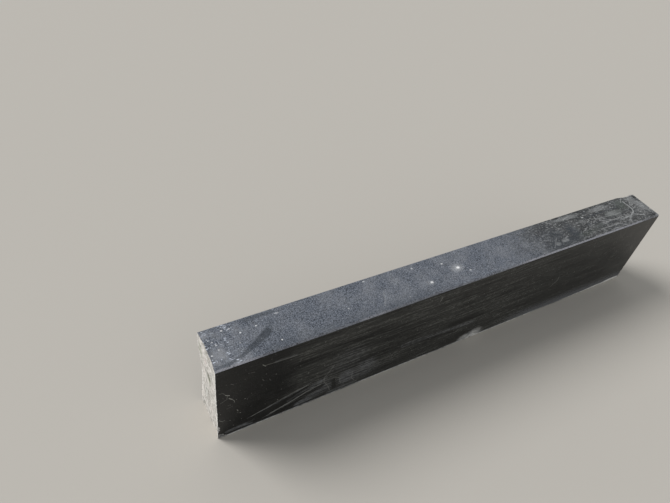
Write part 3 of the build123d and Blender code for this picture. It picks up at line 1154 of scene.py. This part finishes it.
def nickTree():
    tree = bpy.data.node_groups.new("edgeNicks", "GeometryNodeTree")
    tree.interface.new_socket("Edges", in_out="INPUT", socket_type="NodeSocketGeometry")
    for label in ("Spacing", "Drift", "Keep", "Smallest", "Largest"):
        tree.interface.new_socket(label, in_out="INPUT", socket_type="NodeSocketFloat")
    tree.interface.new_socket("Seed", in_out="INPUT", socket_type="NodeSocketInt")
    tree.interface.new_socket("Finish", in_out="INPUT", socket_type="NodeSocketMaterial")
    tree.interface.new_socket("Nicks", in_out="OUTPUT", socket_type="NodeSocketGeometry")
    takes = addNode("NodeGroupInput", tree=tree).outputs

    def chance(offset):
        inputs = {2: 0.0, 3: 1.0, "Seed": calc("ADD", takes["Seed"], offset)}
        return addNode("FunctionNodeRandomValue", inputs, data_type="FLOAT").outputs[1]

    def chanceWay(offset, low, high):
        inputs = {0: (low, low, low), 1: (high, high, high), "Seed": calc("ADD", takes["Seed"], offset)}
        return addNode("FunctionNodeRandomValue", inputs, data_type="FLOAT_VECTOR").outputs[0]

    curve = addNode("GeometryNodeMeshToCurve", {0: takes["Edges"]}).outputs[0]
    points = addNode("GeometryNodeCurveToPoints", {0: curve, "Length": takes["Spacing"]}, mode="LENGTH")
    dropped = addNode("FunctionNodeCompare", {0: chance(1), 1: takes["Keep"]},
                      data_type="FLOAT", operation="GREATER_THAN").outputs[0]
    kept = addNode("GeometryNodeDeleteGeometry", {0: points.outputs["Points"], 1: dropped},
                   domain="POINT").outputs[0]
    slide = scaled(chanceWay(2, -1.0, 1.0), takes["Drift"])
    moved = addNode("GeometryNodeSetPosition", {0: kept, "Offset": slide}).outputs[0]
    rarity = calc("POWER", chance(3), nicks["rarity"])
    spread = calc("SUBTRACT", takes["Largest"], takes["Smallest"])
    radius = timesPlus(spread, rarity, takes["Smallest"])
    stretch = scaled(chanceWay(4, *nicks["stretch"]), radius)
    ball = addNode("GeometryNodeMeshIcoSphere", {"Radius": 1.0, "Subdivisions": 2}, tree).outputs[0]
    lumpy = addNode("ShaderNodeTexNoise", {"Scale": 1.3, "Detail": 1.0}, tree).outputs["Color"]
    bulge = scaled(vectorCalc("SUBTRACT", lumpy, (0.5, 0.5, 0.5)), nicks["bulge"])
    shard = addNode("GeometryNodeSetPosition", {0: ball, "Offset": bulge}).outputs[0]
    inputs = {"Points": moved, "Instance": shard, "Rotation": chanceWay(5, 0.0, math.tau), "Scale": stretch}
    placed = addNode("GeometryNodeInstanceOnPoints", inputs).outputs[0]
    real = addNode("GeometryNodeRealizeInstances", {0: placed}).outputs[0]
    finished = addNode("GeometryNodeSetMaterial", {0: real, "Material": takes["Finish"]}).outputs[0]
    addNode("NodeGroupOutput", {"Nicks": finished})
    return tree


def wireObject(name, lines):
    points, edges = [], []
    for line in lines:
        first = len(points)
        points += line
        edges += [(i, i + 1) for i in range(first, len(points) - 1)]
    mesh = bpy.data.meshes.new(name)
    mesh.from_pydata(points, edges, [])
    return newPiece(name, mesh)


def plainMesh(piece):
    # The piece as its modifiers show it, as a mesh of its own
    bpy.context.view_layer.update()
    graph = bpy.context.evaluated_depsgraph_get()
    seen = piece.evaluated_get(graph)
    return bpy.data.meshes.new_from_object(seen, preserve_all_data_layers=True, depsgraph=graph)


def scatterNicks(name, lines, tree):
    values = nicks[name]
    wire = wireObject(name + "Nicks", lines)
    made = wire.modifiers.new("edgeNicks", "NODES")
    made.node_group = tree
    byName = {item.name: item.identifier for item in tree.interface.items_tree if item.in_out == "INPUT"}
    for label in ("Spacing", "Drift", "Smallest", "Largest"):
        made[byName[label]] = values[label.lower()] * mm
    made[byName["Keep"]] = values["keep"]
    made[byName["Seed"]] = values["seed"]
    made[byName["Finish"]] = finishes["chipped"]
    mesh = plainMesh(wire)
    bpy.data.objects.remove(wire)
    return newPiece(name + "Cutter", mesh)


def longLine(y, z):
    return [fromCorner(nicks["endGap"], y, z), fromCorner(stoneInMm[0] - nicks["endGap"], y, z)]


def topLines(outward):
    # Along the middle of both top arrises
    width, height = stoneInMm[1:]
    inset = shape["topArris"] / 2 - outward
    return [longLine(inset, height - inset), longLine(width - inset, height - inset)]


def rimLines(outward, steps, endAt):
    # Along the four edges of an end, where endAt gives how far along the stone it lies
    width, height = stoneInMm[1:]
    gap, lines = nicks["endGap"], []
    for y in (-outward, width + outward):
        heights = [gap + (height - 2 * gap) * i / steps for i in range(steps + 1)]
        lines.append([fromCorner(endAt(y, z), y, z) for z in heights])
    for z in (-outward, height + outward):
        places = [gap + (width - 2 * gap) * i / steps for i in range(steps + 1)]
        lines.append([fromCorner(endAt(y, z), y, z) for y in places])
    return lines


def lowLines(outward):
    # Both bed edges and the four edges of the sawn end
    length, width = stoneInMm[:2]
    inset = shape["bedArris"] / 2 - outward
    bedLines = [longLine(inset, inset), longLine(width - inset, inset)]
    return bedLines + rimLines(outward, 1, lambda y, z: length + outward)


def fineLines(outward):
    # Both rims of each arris
    width, height = stoneInMm[1:]
    lines = []
    for y, ySide in ((0.0, -1), (width, 1)):
        for z, zSide, arris in ((0.0, -1, shape["bedArris"]), (height, 1, shape["topArris"])):
            lines.append(longLine(y - ySide * arris, z + zSide * outward))
            lines.append(longLine(y + ySide * outward, z - zSide * arris))
    return lines


def splitLines(outward, plainDepth):
    # The four edges of the split face
    return rimLines(outward, nicks["rimSteps"], lambda y, z: plainDepth(y, z) - outward)


def cutAway(piece, cutter):
    cut = piece.modifiers.new("cut", "BOOLEAN")
    cut.operation = "DIFFERENCE"
    cut.solver = "MANIFOLD"
    cut.material_mode = "TRANSFER"
    cut.object = cutter
    mesh = plainMesh(piece)
    piece.modifiers.clear()
    piece.data = mesh
    bpy.data.objects.remove(cutter)


def dressFaces(mesh):
    # Flat faces take their finish from the way they look. The top's arrises are honed and the bed's polished
    slots = {material.name: index for index, material in enumerate(mesh.materials)}
    squareOn, arrisUp = 0.9, 0.6      # the least that a normal points straight out, or up on an arris
    for face in mesh.polygons:
        if mesh.materials[face.material_index] in (finishes["crust"], finishes["chipped"]):
            continue
        if face.normal.x > squareOn or face.normal.z < -squareOn:
            face.material_index = slots["sawnGranite"]
        elif face.normal.z > arrisUp:
            face.material_index = slots["honedGranite"]
        else:
            face.material_index = slots["polishedGranite"]
        face.use_smooth = False


def buildStone():
    stone = makeBlank()
    plainDepth = plainSplit()
    cutAway(stone, makeSplitCutter(plainDepth))
    print("split end cut")
    for chip in shape["chips"]:
        cutAway(stone, makeChipCutter(chip))
    print("chips cut")
    tree = nickTree()
    edges = dict(
        top=topLines(nicks["top"]["stand"]),
        low=lowLines(nicks["low"]["stand"]),
        fine=fineLines(nicks["fine"]["stand"]),
        split=splitLines(nicks["split"]["stand"], plainDepth),
    )
    for name, lines in edges.items():
        cutAway(stone, scatterNicks(name, lines, tree))
    print("edges nicked")
    dressFaces(stone.data)
    return stone


kerbStone = buildStone()
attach(kerbStone, "root")
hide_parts("kerb_stone")
print("kerb stone finished:", len(kerbStone.data.polygons), "faces")

seenLow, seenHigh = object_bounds()
